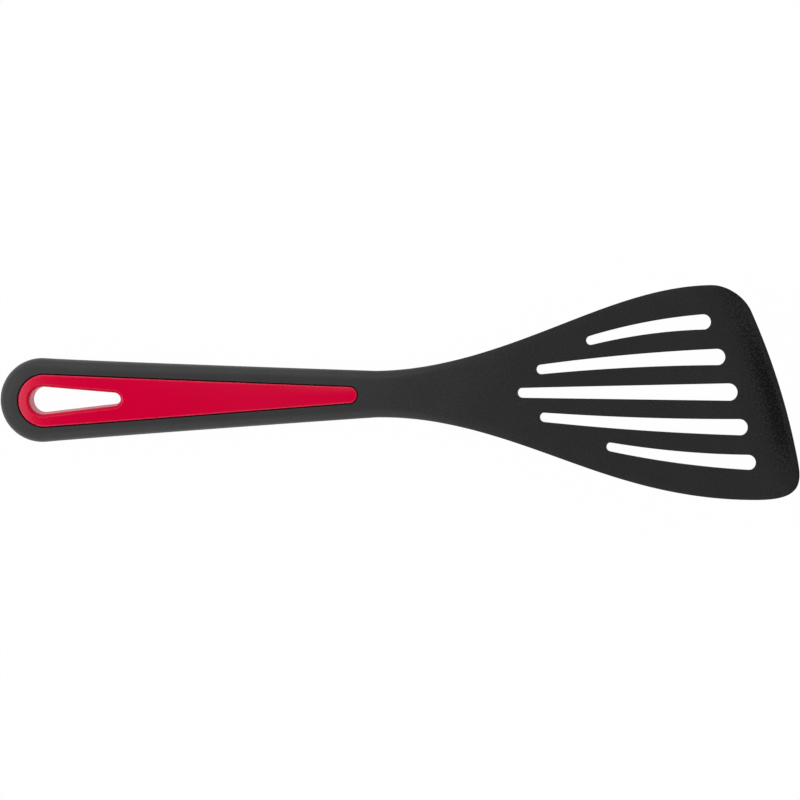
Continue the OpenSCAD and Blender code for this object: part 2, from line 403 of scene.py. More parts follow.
    def thickness(self, x: float, y: float) -> float:
        """Return the thickness over a place of the plan, bevel included.

        Args:
            x: Place along the spine.
            y: Place across it.

        Returns:
            The full thickness, without the crown.
        """
        if x < self.crest_x:
            share = (self.crest_x - x) / (self.crest_x - self.end_x + self.end_r)
            return self.handle_t - self.end_drop * share**2
        if x < self.neck_x:
            share = ease((x - self.crest_x) / (self.neck_x - self.crest_x))
            return mix(self.handle_t, self.neck_t, share)
        share = ease((x - self.neck_x) / (self.root_x - self.neck_x))
        gap = self.front_r - (Vector((x, y)) - self.front_c).length
        bevel = (self.blade_t - self.tip_t) * max(0.0, 1 - gap / self.bevel_w) ** 2
        return mix(self.neck_t, self.blade_t, share) - bevel

    def top(self, x: float, y: float) -> float:
        """Return the height of the top face, away from its rounded edges.

        Args:
            x: Place along the spine.
            y: Place across it.

        Returns:
            The height above the underside.
        """
        full = self.thickness(x, y)
        rise = (full - self.blade_t) / (self.handle_t - self.blade_t)
        if rise <= 0 or x >= self.root_x:
            return full
        at_neck = ease((x - self.crown_from) / (self.neck_x - self.crown_from))
        crown = mix(self.crown, self.neck_crown, at_neck)
        out = min(1.0, abs(y) / max(self.crown_least_w, self.half_width(x)))
        return full - crown * rise * out**2

    def waist_height(self, x: float, y: float) -> float:
        """Return the height at which the outer edge stands out furthest."""
        return self.waist * self.thickness(x, y)

    def edge_reach(self, thickness: float) -> float:
        """Return how far the outer edge's rounding reaches in over the top.

        Args:
            thickness: Thickness at the edge.

        Returns:
            The width of the rounding, wider for its thickness where the blade is thin.
        """
        thick = (thickness - self.blade_t) / (self.handle_t - self.blade_t)
        share = max(0.0, min(1.0, thick / self.blade_edge_to))
        return thickness * mix(self.blade_edge, self.edge, share)


@dataclass
class SlotRow:
    """The five slots that fan across the blade, in millimetres."""

    pitch: float = 13.1
    margin: float = 16.1
    margin_step: float = 0.25
    wide: float = 6.5
    narrow: float = 3.8
    fade: float = 0.42
    narrow_fade: float = 0.5
    lengths: tuple[float, ...] = (47.7, 72.2, 84.0, 79.2, 56.7)
    leans: tuple[float, ...] = (6.6, 4.3, 0.0, 3.8, 5.7)
    bow: float = 0.85
    edge_len: float = 2.0
    look_ahead: float = 0.02

    def _out(self, k: int) -> int:
        """Return how many slots k lies from the middle one, positive on the short side."""
        return len(self.lengths) // 2 - k

    def _half(self, k: int, share: float) -> float:
        """Return the half width of slot k at a share of its length."""
        fade = self.fade * abs(self._out(k)) * mix(self.narrow_fade, 1, share)
        return (mix(self.narrow, self.wide, share) - fade) / 2

    def _line(self, plan: TurnerPlan, k: int) -> list[Vector]:
        """Return the middle line of a slot.

        Args:
            plan: The plan that the slot is cut in.
            k: Number of the slot, from the short side.

        Returns:
            The line's control points, from the neck to the front.
        """
        out = self._out(k)
        y = self.pitch * out
        end = Vector((plan.front_point(y).x - self.margin - self.margin_step * out, y))
        lean = math.copysign(self.leans[k], out) if out else 0.0
        start = end - Vector((self.lengths[k], lean))
        a = start + Vector((self._half(k, 0), 0))
        b = end - Vector((self._half(k, 1), 0))
        return [a, Vector(((a.x + b.x) / 2, mix(a.y, b.y, self.bow))), b]

    def loop(self, plan: TurnerPlan, k: int) -> Loop:
        """Return the outline of a slot.

        Args:
            plan: The plan that the slot is cut in.
            k: Number of the slot, from the short side.

        Returns:
            The slot's closed line, counter-clockwise.
        """
        line = self._line(plan, k)
        steps = max(STEPS.slot_least, round(self.lengths[k] / self.edge_len))
        sides: dict[int, list[Vector]] = {1: [], -1: []}
        for i in range(steps + 1):
            share = i / steps
            behind = bezier(line, max(0, share - self.look_ahead))
            run = (bezier(line, min(1, share + self.look_ahead)) - behind).normalized()
            across = Vector((-run.y, run.x)) * self._half(k, share)
            for sign, row in sides.items():
                row.append(bezier(line, share) + across * sign)
        ends: dict[float, list[Vector]] = {}
        for share, start in ((1.0, -QUARTER), (0.0, QUARTER)):
            centre, half = bezier(line, share), self._half(k, share)
            turns = [start + math.pi * i / STEPS.slot_end for i in range(1, STEPS.slot_end)]
            ends[share] = [centre + half * unit(turn) for turn in turns]
        return Loop.through(sides[-1] + ends[1.0] + sides[1][::-1] + ends[0.0])

    def loops(self, plan: TurnerPlan) -> list[Loop]:
        """Return the outlines of all the slots, from the short side."""
        return [self.loop(plan, k) for k in range(len(self.lengths))]


@dataclass
class HandleSeat:
    """The seat of the insert and the hanging eye, in millimetres."""

    insert_x: float = 0.4
    insert_r: float = 9.9
    insert_tip_r: float = 3.1
    insert_len: float = 115.6
    insert_gap: float = 0.38
    seat_z: float = 7.6
    eye_x: float = 0.0
    eye_r: float = 5.25
    eye_tip_r: float = 2.55
    eye_len: float = 26.75
    collar_w: float = 1.8
    collar_gap: float = 0.15
    collar_up: float = 0.2

    def insert(self, out: float = 0.0) -> Loop:
        """Return the insert's outline, moved outwards."""
        large, small = self.insert_r + out, self.insert_tip_r + out
        return Loop.egg(self.insert_x, large, small, self.insert_len)

    def eye(self, out: float = 0.0) -> Loop:
        """Return the eye's outline, moved outwards."""
        return Loop.egg(self.eye_x, self.eye_r + out, self.eye_tip_r + out, self.eye_len)


class Shell:
    """A closed mesh of filled faces joined by rims, worked flat in millimetres."""

    REFINE_ROUNDS = 14
    SMOOTHING = 0.5
    WELD = 0.002

    def __init__(self) -> None:
        """Start an empty mesh."""
        self.bm: BMesh = bmesh.new()

    def ring(self, places: Sequence[Vector]) -> list[BMVert]:
        """Make a closed ring of edges at height 0.

        Args:
            places: Where its vertices go in the plan.

        Returns:
            The ring's vertices, in the same order.
        """
        made = bmesh.ops.create_circle(self.bm, cap_ends=False, radius=1, segments=len(places))
        ring = [v for v in made["verts"] if isinstance(v, BMVert)]
        for vert, place in zip(ring, places):
            vert.co = Vector((place.x, place.y, 0))
        return ring

    @staticmethod
    def edges_of(ring: Sequence[BMVert]) -> list[BMEdge]:
        """Return the edges of a ring.

        Args:
            ring: The ring's vertices, in their order.

        Returns:
            The edges that join each vertex to the next one.
        """
        found: dict[BMEdge, None] = {}
        for vert, after in zip(ring, [*ring[1:], ring[0]]):
            for edge in vert.link_edges:
                if edge.other_vert(vert) is after:
                    found[edge] = None
        return list(found)

    def sheet(self, rings: Sequence[Sequence[BMVert]], height: Height, size: float) -> None:
        """Fill the plan between rings, refine it and raise it.

        Args:
            rings: An outer ring, and one ring for each hole in the sheet.
            height: Height of the sheet over each place of the plan.
            size: Longest edge of the finished triangles.
        """
        sheet = Shell()
        bm = sheet.bm
        for ring in rings:
            sheet.ring([v.co for v in ring])
        bmesh.ops.triangle_fill(
            bm, use_beauty=True, use_dissolve=False, edges=bm.edges, normal=(0, 0, 1)
        )
        for _ in range(self.REFINE_ROUNDS):
            long = [e for e in bm.edges if not e.is_boundary and e.calc_length() > size]
            if not long:
                break
            bmesh.ops.subdivide_edges(bm, edges=long, cuts=1)
            bmesh.ops.triangulate(bm, faces=[f for f in bm.faces if len(f.verts) > 3])
            inside = [e for e in bm.edges if not e.is_boundary]
            bmesh.ops.beautify_fill(bm, faces=bm.faces, edges=inside, method="AREA")
            free = [v for v in bm.verts if not v.is_boundary]
            bmesh.ops.smooth_vert(
                bm, verts=free, factor=self.SMOOTHING, use_axis_x=True, use_axis_y=True
            )
        for vert in bm.verts:
            vert.co.z = height(vert.co.x, vert.co.y)
        for ring in rings:
            for vert in ring:
                vert.co.z = height(vert.co.x, vert.co.y)
        carrier = bpy.data.meshes.new("sheet")
        bm.to_mesh(carrier)
        bm.free()
        self.bm.from_mesh(carrier)
        bpy.data.meshes.remove(carrier)

    def rim(self, ring: Sequence[BMVert], places: Sequence[Vector]) -> list[BMVert]:
        """Extrude a ring and move its copy.

        Args:
            ring: The ring to go on from.
            places: Where each vertex of the new ring goes.

        Returns:
            The new ring, in the same order.
        """
        made = bmesh.ops.extrude_edge_only(self.bm, edges=self.edges_of(ring))
        fresh = {g for g in made["geom"] if isinstance(g, BMVert)}
        after = []
        for vert, place in zip(ring, places):
            copy = next(e.other_vert(vert) for e in vert.link_edges if e.other_vert(vert) in fresh)
            copy.co = place
            after.append(copy)
        return after

    def finish(
        self, name: str, top: Height, spine: Spine, slot: str, node: str
    ) -> bpy.types.Object:
        """Weld the mesh, bend it and make it a piece that stands for a CAD node.

        Each vertex keeps its place along, across and below the top face for the finishes.

        Args:
            name: Name of the piece.
            top: Height of the top face.
            spine: The line that it is bent along.
            slot: Not used.
            node: The CAD node that it replaces.

        Returns:
            The finished object.
        """
        bmesh.ops.remove_doubles(self.bm, verts=self.bm.verts, dist=self.WELD)
        open_edges = sum(1 for e in self.bm.edges if len(e.link_faces) != 2)
        skin = self.bm.verts.layers.float_vector.new(SKIN)
        for vert in self.bm.verts:
            x, y, z = vert.co
            vert[skin] = Vector((x, y, top(x, y) - z)) * MM
            vert.co = spine.place(vert.co)
        bmesh.ops.recalc_face_normals(self.bm, faces=self.bm.faces)
        if self.bm.calc_volume(signed=True) < 0:
            bmesh.ops.reverse_faces(self.bm, faces=self.bm.faces)
        for face in self.bm.faces:
            face.smooth = True
        mesh = bpy.data.meshes.new(name)
        self.bm.to_mesh(mesh)
        piece = bpy.data.objects.new(name, mesh)
        bpy.context.scene.collection.objects.link(piece)
        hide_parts(node)
        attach(piece, "root")
        LOG.info("%s: %d faces, %d open edges", name, len(self.bm.faces), open_edges)
        self.bm.free()
        return piece


@dataclass
class Moulding:
    """The dark blade, neck and handle frame."""

    plan: TurnerPlan
    slots: SlotRow
    seat: HandleSeat
    spine: Spine
    slot_fillet: float = 0.35
    back_fillet: float = 0.25
    seat_fillet: float = 0.3
    margin: float = 0.12
    size: float = 2.2
    hidden_size: float = 4.0

    def build(self) -> bpy.types.Object:
        """Build the moulding.

        Returns:
            The finished piece.
        """
        shell, plan = Shell(), self.plan
        outline = plan.outline()
        full = [plan.thickness(p.x, p.y) for p in outline.points]
        slot_loops = self.slots.loops(plan)
        seat_loop = self.seat.insert(self.seat.insert_gap)
        bore_loop = self.seat.eye(self.seat.collar_w + self.seat.collar_gap)

        outer_top = shell.ring(outline.moved([-plan.edge_reach(t) for t in full]))
        seat_top = shell.ring(seat_loop.moved(self.seat_fillet + self.margin))
        slot_out = self.slot_fillet + self.margin
        slot_tops = [shell.ring(loop.moved(slot_out)) for loop in slot_loops]
        shell.sheet([outer_top, seat_top, *slot_tops], plan.top, self.size)

        outer_back = shell.ring(outline.moved([-t * plan.back_edge for t in full]))
        back_out = self.back_fillet + self.margin
        bore_back = shell.ring(bore_loop.moved(back_out))
        slot_backs = [shell.ring(loop.moved(back_out)) for loop in slot_loops]
        shell.sheet([outer_back, bore_back, *slot_backs], level(0.0), self.size)

        self._outer_edge(shell, outline, outer_top, full)
        for loop, ring in zip(slot_loops, slot_tops):
            for out, drop in fillet(self.slot_fillet, STEPS.slot_fillet):
                ring = shell.rim(ring, raised(loop.moved(out), plan.top, drop))
            self._down_to_back(shell, loop, ring)
        self._down_to_back(shell, bore_loop, self._seat(shell, seat_loop, bore_loop, seat_top))
        return shell.finish("moulding", plan.top, self.spine, "nylon_dark", "turner_body")

    def _outer_edge(
        self, shell: Shell, outline: Loop, ring: list[BMVert], full: Sequence[float]
    ) -> None:
        """Round the outer edge from the top, over the waist, to the back.

        Args:
            shell: The mesh to work in.
            outline: The moulding's outline.
            ring: The outer ring of the top face.
            full: The thickness at each point of the outline.
        """
        plan = self.plan
        for k in range(STEPS.top_edge - 1, -1, -1):
            turn = QUARTER * k / STEPS.top_edge
            rise = math.sin(turn)
            places = outline.moved([-plan.edge_reach(t) * (1 - math.cos(turn)) for t in full])
            heights = [mix(plan.waist_height(p.x, p.y), plan.top(p.x, p.y), rise) for p in places]
            ring = shell.rim(ring, [Vector((p.x, p.y, z)) for p, z in zip(places, heights)])
        for k in range(1, STEPS.back_edge + 1):
            turn = QUARTER * k / STEPS.back_edge
            rise = 1 - math.sin(turn)
            places = outline.moved([-t * plan.back_edge * (1 - math.cos(turn)) for t in full])
            heights = [plan.waist_height(p.x, p.y) * rise for p in places]
            ring = shell.rim(ring, [Vector((p.x, p.y, z)) for p, z in zip(places, heights)])

    def _down_to_back(self, shell: Shell, loop: Loop, ring: list[BMVert]) -> None:
        """Take a hole down its wall to its rounded rim in the back.

        Args:
            shell: The mesh to work in.
            loop: The hole's outline.
            ring: The ring at the upper end of its wall.
        """
        for out, height in reversed(fillet(self.back_fillet, STEPS.small_fillet)):
            ring = shell.rim(ring, raised(loop.moved(out), level(height)))
        shell.rim(ring, raised(loop.moved(self.back_fillet + self.margin), level(0.0)))

    def _seat(self, shell: Shell, loop: Loop, bore: Loop, ring: list[BMVert]) -> list[BMVert]:
        """Sink the insert's seat.

        Args:
            shell: The mesh to work in.
            loop: The seat's outline.
            bore: The outline of the bore in the seat's floor.
            ring: The seat's ring in the top face.

        Returns:
            The ring of the bore in the seat's floor.
        """
        floor = level(self.seat.seat_z)
        for out, drop in fillet(self.seat_fillet, STEPS.small_fillet):
            ring = shell.rim(ring, raised(loop.moved(out), self.plan.top, drop))
        shell.rim(ring, raised(loop.points, floor))
        floor_outer = shell.ring(loop.points)
        floor_inner = shell.ring(bore.points)
        shell.sheet([floor_outer, floor_inner], floor, self.hidden_size)
        return floor_inner


@dataclass
class HandleInsert:
    """The coloured panel in the handle, with the collar that lines the hanging eye."""

    plan: TurnerPlan
    seat: HandleSeat
    spine: Spine
    edge_fillet: float = 0.55
    eye_rim: tuple[Span, ...] = (
        (1.1, 0.0),
        (1.0, 0.02),
        (0.92, 0.1),
        (0.84, 0.22),
        (0.46, 0.8),
        (0.14, 1.3),
        (0.04, 1.55),
        (0.0, 1.9),
    )
    collar_fillet: float = 0.3
    eye_draft: float = 0.4
    end_draft: float = 0.3
    margin: float = 0.12
    size: float = 1.6
    hidden_size: float = 4.0

    def build(self) -> bpy.types.Object:
        """Build the insert.

        Returns:
            The finished piece.
        """
        shell, plan, seat = Shell(), self.plan, self.seat
        edge, eye = seat.insert(), seat.eye()
        outer = shell.ring(edge.moved(-self.edge_fillet - self.margin))
        inner = shell.ring(eye.moved(self.eye_rim[0][0] + self.margin))
        shell.sheet([outer, inner], plan.top, self.size)

        underside = level(seat.seat_z)
        for out, drop in fillet(self.edge_fillet, STEPS.panel_fillet):
            outer = shell.rim(outer, raised(edge.moved(-out), plan.top, drop))
        shell.rim(outer, raised(edge.points, underside))
        for out, drop in self.eye_rim:
            inner = shell.rim(inner, raised(eye.moved(out), plan.top, drop))
        self._collar(shell, eye, inner)

        under_outer = shell.ring(edge.points)
        under_inner = shell.ring(eye.moved(seat.collar_w))
        shell.sheet([under_outer, under_inner], underside, self.hidden_size)
        return shell.finish("insert_panel", plan.top, self.spine, "insert_red", "handle_insert")

    def _collar(self, shell: Shell, eye: Loop, ring: list[BMVert]) -> None:
        """Line the eye with a drafted wall and come back up outside it to the panel.

        Args:
            shell: The mesh to work in.
            eye: The eye's outline.
            ring: The ring at the foot of the eye's rim.
        """
        seat = self.seat
        profile = fillet(self.collar_fillet, STEPS.small_fillet)
        draft = [self.eye_draft + self.end_draft * n.x * n.x for n in eye.normals]
        for out, drop in reversed(profile):
            places = eye.moved([out - share for share in draft])
            ring = shell.rim(ring, raised(places, level(seat.collar_up + drop)))
        for out, drop in profile:
            places = eye.moved(seat.collar_w - out)
            ring = shell.rim(ring, raised(places, level(seat.collar_up + drop)))
        shell.rim(ring, raised(eye.moved(seat.collar_w), level(seat.seat_z)))


class Graph:
    """Lays out the nodes of a material or a world."""

    NOISE_ROUGHNESS = 0.55
    MIX_SHARE, MIX_A, MIX_B, MIX_RESULT = 0, 6, 7, 2

    def __init__(self, tree: bpy.types.NodeTree) -> None:
        """Work in a tree that is already there."""
        self.tree = tree

    def add(
        self, kind: str, values: dict[str | int, object] | None = None, **settings: object
    ) -> bpy.types.Node:
        """Add a node.

        Args:
            kind: Blender's name of the node type.
            values: Inputs by name or number, with a value or a socket to join.
            settings: Properties of the node itself.

        Returns:
            The new node.
        """
        node = self.tree.nodes.new(kind)
        for key, value in settings.items():
            setattr(node, key, value)
        for key, value in (values or {}).items():
            self.join(value, node.inputs[key])
        return node

    def join(self, source: object, target: bpy.types.NodeSocket) -> None:
        """Join two sockets, or set a socket's value.

        Args:
            source: A socket or a value.
            target: The input that takes it.
        """
        if isinstance(source, bpy.types.NodeSocket):
            self.tree.links.new(source, target)
        else:
            target.default_value = source

    def split(self, place: bpy.types.NodeSocket) -> dict[str, bpy.types.NodeSocket]:
        """Return the X, Y and Z of a vector by name."""
        node = self.add("ShaderNodeSeparateXYZ", {"Vector": place})
        return {socket.name: socket for socket in node.outputs}

    def step(
        self,
        value: object,
        low: float,
        high: float,
        start: float,
        end: float,
        kind: str = "SMOOTHSTEP",
    ) -> bpy.types.NodeSocket:
        """Return a change from start to end while a value goes from low to high.

        Args:
            value: The value or socket that drives the change.
            low: Where the change starts.
            high: Where the change ends.
            start: The result up to low.
            end: The result from high on.
            kind: Blender's name of the change's course.

        Returns:
            The socket of the result.
        """
        values = {"Value": value, "From Min": low, "From Max": high, "To Min": start, "To Max": end}
        return self.add("ShaderNodeMapRange", values, interpolation_type=kind).outputs["Result"]

    def sum(self, operation: str, *values: object) -> bpy.types.NodeSocket:
        """Return the result of a sum of a few values."""
        return self.add("ShaderNodeMath", dict(enumerate(values)), operation=operation).outputs[0]

    def vector_sum(self, operation: str, *values: object) -> bpy.types.Node:
        """Return the node of a sum of a few vectors."""
        return self.add("ShaderNodeVectorMath", dict(enumerate(values)), operation=operation)

    def noise(
        self, place: bpy.types.NodeSocket, size: float, detail: float
    ) -> bpy.types.NodeSocket:
        """Return noise over a surface.

        Args:
            place: The place that the noise is read at.
            size: Rough size of its cells, in metres.
            detail: Number of finer layers in it.

        Returns:
            The socket of its level, from 0 to 1.
        """
        values = {
            "Vector": place,
            "Scale": 1 / size,
            "Detail": detail,
            "Roughness": self.NOISE_ROUGHNESS,
        }
        return self.add("ShaderNodeTexNoise", values).outputs["Fac"]

    def blend(self, share: object, a: object, b: object) -> bpy.types.NodeSocket:
        """Return the colour at a share of the way from a to b.

        Args:
            share: The share, as a value or socket.
            a: The colour at a share of 0, or its socket.
            b: The colour at a share of 1, or its socket.

        Returns:
            The socket of the blended colour.
        """
        mixed = self.add("ShaderNodeMix", data_type="RGBA")
        for source, number in ((share, self.MIX_SHARE), (a, self.MIX_A), (b, self.MIX_B)):
            self.join(source, mixed.inputs[number])
        return mixed.outputs[self.MIX_RESULT]


class Finish(Graph):
    """Lays out the nodes of a material with a Principled shader."""

    def __init__(self, name: str) -> None:
        """Start a material.

        Args:
            name: The material's name.
        """
        self.material = bpy.data.materials.new(name)
        self.material.use_nodes = True
        super().__init__(self.material.node_tree)
        self.shader = self.tree.nodes["Principled BSDF"]

    def give(self, name: str, source: object) -> None:
        """Join a socket, or set a value, to an input of the shader."""
        self.join(source, self.shader.inputs[name])

    def skin(self) -> bpy.types.NodeSocket:
        """Return the place along, across and below the top face, in metres."""
        return self.add("ShaderNodeAttribute", attribute_name=SKIN).outputs["Vector"]

    def bump(self, strength: object, distance: float, height: bpy.types.NodeSocket) -> None:
        """Give the surface a fine relief.

        Args:
            strength: Share of the relief that shows, as a value or socket.
            distance: Height of the relief, in metres.
            height: Its level over the surface.
        """
        values = {"Strength": strength, "Distance": distance, "Height": height}
        self.give("Normal", self.add("ShaderNodeBump", values).outputs["Normal"])


def grey(value: float) -> Colour:
    """Return a linear grey, a touch cool."""
    return (value, value, value * 1.04, 1.0)


@dataclass(frozen=True)
class Nylon:
    """Dark nylon: satin on the handle, grained on the blade, with painted shade darkest along the
    front edge.
    """

    plan: TurnerPlan
    handle: float = 0.034
    blade: float = 0.0110
    # Near-black colour of the band along the front edge: painted shade.
    front: float = 0.0002
    specular: float = 0.18
    handle_roughness: float = 0.44
    blade_roughness: float = 0.62
    front_roughness: float = 0.9
    speck_roughness: float = 0.05
    rough_from: float = 0.45
    blade_run: Span = (0.105, 0.225)
    # The front_ spans below shape the band of painted shade along the front edge; front_rim
    # lightens it again right at the rim, a painted highlight.
    front_core: Span = (0.004, 0.0105)
    front_core_share: float = 0.75
    front_fade: Span = (0.007, 0.019)
    front_rim: Span = (0.0004, 0.0028)
    front_rim_share: float = 0.1
    front_low: Span = (-0.037, -0.013)
    front_high: Span = (0.004, 0.032)
    front_rest: float = 0.48
    grain: float = 0.00085
    speck: Span = (0.35, 0.65)
    contrast: Span = (0.2, 0.65)
    fleck: float = 0.0095
    fleck_levels: Span = (0.46, 0.62)
    fleck_front: float = 0.6
    fleck_rest: float = 0.1
    cloud: float = 0.014
    cloud_levels: Span = (0.3, 0.7)
    cloud_shades: Span = (0.94, 1.06)
    relief: float = 0.00012
    relief_shares: Span = (0.06, 1.0)

    def build(self) -> bpy.types.Material:
        """Build the material.

        Returns:
            The material.
        """
        g = Finish("nylon_dark")
        skin = g.skin()
        place = g.split(skin)
        before = g.step(place["X"], *self.blade_run, 1.0, 0.0, "LINEAR")
        on_blade = g.sum("SUBTRACT", 1.0, g.sum("MULTIPLY", before, before))
        at_front = self._front_share(g, skin, place["Y"])
        grain = g.noise(skin, self.grain, detail=2.0)
        speck = g.step(grain, *self.speck, -1.0, 1.0)
        g.give("Base Color", self._colour(g, skin, on_blade, at_front, speck))

        ends = (self.handle_roughness, self.blade_roughness)
        rough = g.step(on_blade, self.rough_from, 1.0, *ends)
        front_roughening = self.front_roughness - self.blade_roughness
        rough = g.sum("MULTIPLY_ADD", at_front, front_roughening, rough)
        g.give("Roughness", g.sum("MULTIPLY_ADD", speck, self.speck_roughness, rough))
        g.give("Specular IOR Level", self.specular)
        g.bump(g.step(on_blade, 0.0, 1.0, *self.relief_shares), self.relief, grain)
        return g.material

    def _colour(
        self,
        g: Finish,
        skin: bpy.types.NodeSocket,
        on_blade: bpy.types.NodeSocket,
        at_front: bpy.types.NodeSocket,
        speck: bpy.types.NodeSocket,
    ) -> bpy.types.NodeSocket:
        """Return the colour, with its clouds, specks, pale flecks and painted shade along the
        front.

        Args:
            g: The material's nodes.
            skin: Places on the surface.
            on_blade: How far a place belongs to the blade.
            at_front: How far a place belongs to the band of painted shade along the front edge.
            speck: The grain, from -1 to 1.

        Returns:
            The socket of the colour.
        """
        base = g.blend(on_blade, grey(self.handle), grey(self.blade))
        # Painted shade: the band along the front edge goes towards near black.
        base = g.blend(at_front, base, grey(self.front))
        cloud = g.noise(skin, self.cloud, detail=3.0)
        cloud = g.step(cloud, *self.cloud_levels, *self.cloud_shades)
        contrast = g.sum("MULTIPLY", on_blade, g.step(at_front, 0.0, 1.0, *self.contrast))
        shade = g.sum("MULTIPLY", cloud, g.sum("ADD", 1.0, g.sum("MULTIPLY", speck, contrast)))
        shaded = g.vector_sum("SCALE", base)
        g.join(shade, shaded.inputs["Scale"])

        flecks = g.noise(skin, self.grain, detail=1.0)
        flecks = g.step(flecks, *self.fleck_levels, 0.0, self.fleck)
        showing = g.step(at_front, 0.0, self.fleck_front, self.fleck_rest, 1.0)
        flecks = g.sum("MULTIPLY", g.sum("MULTIPLY", flecks, on_blade), showing)
        return g.vector_sum("ADD", shaded.outputs["Vector"], flecks).outputs["Vector"]

    def _front_share(
        self, g: Finish, skin: bpy.types.NodeSocket, y: bpy.types.NodeSocket
    ) -> bpy.types.NodeSocket:
        """Return how far a place belongs to the band of painted shade along the front edge.

        Args:
            g: The material's nodes.
            skin: Places on the surface.
            y: Their places across the spine.

        Returns:
            The socket of the share.
        """
        centre = (self.plan.front_c.x * MM, self.plan.front_c.y * MM, 0.0)
        reach = g.vector_sum("DISTANCE", skin, centre).outputs["Value"]
        gap = g.sum("SUBTRACT", self.plan.front_r * MM, reach)
        core = g.step(gap, *self.front_core, self.front_core_share, 0.0)
        fade = g.step(gap, *self.front_fade, 1.0 - self.front_core_share, 0.0)
        # Painted highlight: the painted shade eases off over the last millimetres to the rim.
        rim = g.step(gap, *self.front_rim, self.front_rim_share, 1.0)
        near = g.sum("MULTIPLY", g.sum("ADD", core, fade), rim)
        low = g.step(y, *self.front_low, 0.0, 1.0)
        high = g.step(y, *self.front_high, 1.0, self.front_rest)
        return g.sum("MULTIPLY", near, g.sum("MULTIPLY", low, high))


@dataclass(frozen=True)
class InsertPlastic:
    """Smooth plastic of the handle insert, satin, with painted shade on its rims and paler painted
    light in the wall of the eye.
    """

    colour: Colour = (0.64, 0.0001, 0.0377, 1.0)
    deep: Colour = (0.622, 0.0001, 0.0355, 1.0)
    # Painted shade: a darker red on the rounded rims, the eye's chamfer and below them.
    rim: Colour = (0.60, 0.0001, 0.036, 1.0)
    # Painted light: a paler pink on the eye's wall, for the strip lit from the floor and by
    # reflections.
    wall: Colour = (0.88, 0.012, 0.12, 1.0)
    specular: float = 0.36
    roughness: float = 0.115
    wall_roughness: float = 0.4
    fine_roughness: float = 0.05
    rim_depth: Span = (0.00001, 0.0003)
    wall_depth: Span = (0.0025, 0.006)
    wall_end: Span = (0.0100, 0.0111)
    cloud: float = 0.016
    cloud_levels: Span = (0.3, 0.7)
    fine: float = 0.0004
    relief: float = 0.00002
    relief_share: float = 0.12

    def build(self) -> bpy.types.Material:
        """Build the material.

        Returns:
            The material.
        """
        g = Finish("insert_red")
        skin = g.skin()
        cloud = g.noise(skin, self.cloud, detail=3.0)
        cloud = g.step(cloud, *self.cloud_levels, 0.0, 1.0)
        fine = g.noise(skin, self.fine, detail=2.0)
        depth = g.split(skin)["Z"]
        # Painted shade: places deeper than the face's rounding take the darker rim red.
        on_rim = g.step(depth, *self.rim_depth, 0.0, 1.0)
        # Painted light: the eye's wall takes the paler wall pink.
        wall_light_share = g.step(depth, *self.wall_depth, 0.0, 1.0)
        wall_light_share = g.sum("MULTIPLY", wall_light_share, g.step(depth, *self.wall_end, 1.0, 0.0))
        face = g.blend(on_rim, g.blend(cloud, self.colour, self.deep), self.rim)
        g.give("Base Color", g.blend(wall_light_share, face, self.wall))

        rough = g.step(on_rim, 0.0, 1.0, self.roughness, self.wall_roughness)
        rough = g.sum("SUBTRACT", rough, self.fine_roughness / 2)
        g.give("Roughness", g.sum("MULTIPLY_ADD", fine, self.fine_roughness, rough))
        g.give("Specular IOR Level", self.specular)
        g.bump(self.relief_share, self.relief, fine)
        return g.material


@dataclass(frozen=True)
class SoftBox:
    """A large soft lamp over the turner, at an angle from straight up."""

    name: str
    towards: Span
    lean: float
    size: Span
    radiance: float
    distance: float = 1.5
    middle: Span = (0.12, 0.0)

    def build(self) -> None:
        """Hang the lamp."""
        side = Vector((*self.towards, 0.0)).normalized()
        lean = math.radians(self.lean)
        arm = side * math.sin(lean) + Vector((0, 0, math.cos(lean)))
        data = bpy.data.lights.new(self.name, "AREA")
        data.shape = "RECTANGLE"
        data.size, data.size_y = self.size
        data.energy = self.radiance * math.pi * self.size[0] * self.size[1]
        lamp = bpy.data.objects.new(self.name, data)
        lamp.location = Vector((*self.middle, 0.0)) + arm * self.distance
        across = Vector((0, 0, 1)).cross(side)
        turn = Matrix((across, arm.cross(across), arm)).transposed()
        lamp.rotation_euler = turn.to_euler()
        bpy.context.scene.collection.objects.link(lamp)


